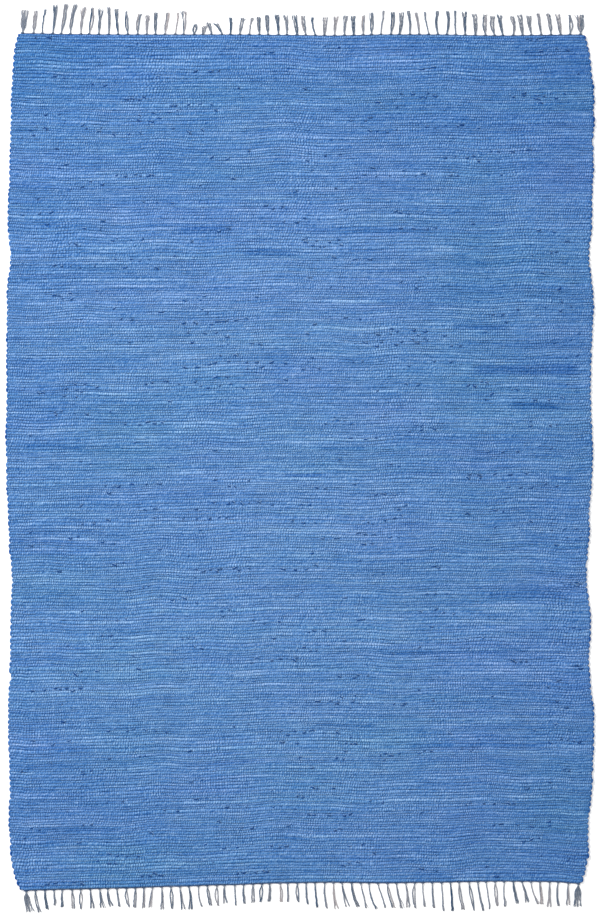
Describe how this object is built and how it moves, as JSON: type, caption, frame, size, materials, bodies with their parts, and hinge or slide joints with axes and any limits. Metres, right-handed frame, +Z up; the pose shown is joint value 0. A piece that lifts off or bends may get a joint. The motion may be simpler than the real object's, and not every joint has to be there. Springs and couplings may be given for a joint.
{
  "type": "rag rug",
  "caption": "Flat rectangular plain-woven rag rug with uneven selvedges, a heading cord across each end and a knotted warp fringe past it.",
  "frame": {"origin": "on the surface that the rug lies on, under the middle of its outer box, fringes included", "axes": "+Z up out of the rug's face, +Y along the warp towards the far fringe, +X across the rug to the right"},
  "size_m": [1.601, 2.4734, 0.006],
  "materials": {
    "rag_weft": "matt cotton rag strips in mottled mid blues, beaten into fine ribs, with short lighter and darker stretches",
    "heading_cord": "matt dark slate-blue cotton cord, twisted",
    "warp_fringe": "matt slate-grey cotton warp yarn, knotted in tufts with loose cut ends"
  },
  "bodies": {
    "root": {"woven_field": "rag_weft", "heading_far": "heading_cord", "heading_near": "heading_cord", "fringe_far": "warp_fringe", "fringe_near": "warp_fringe"}
  },
  "joints": []
}
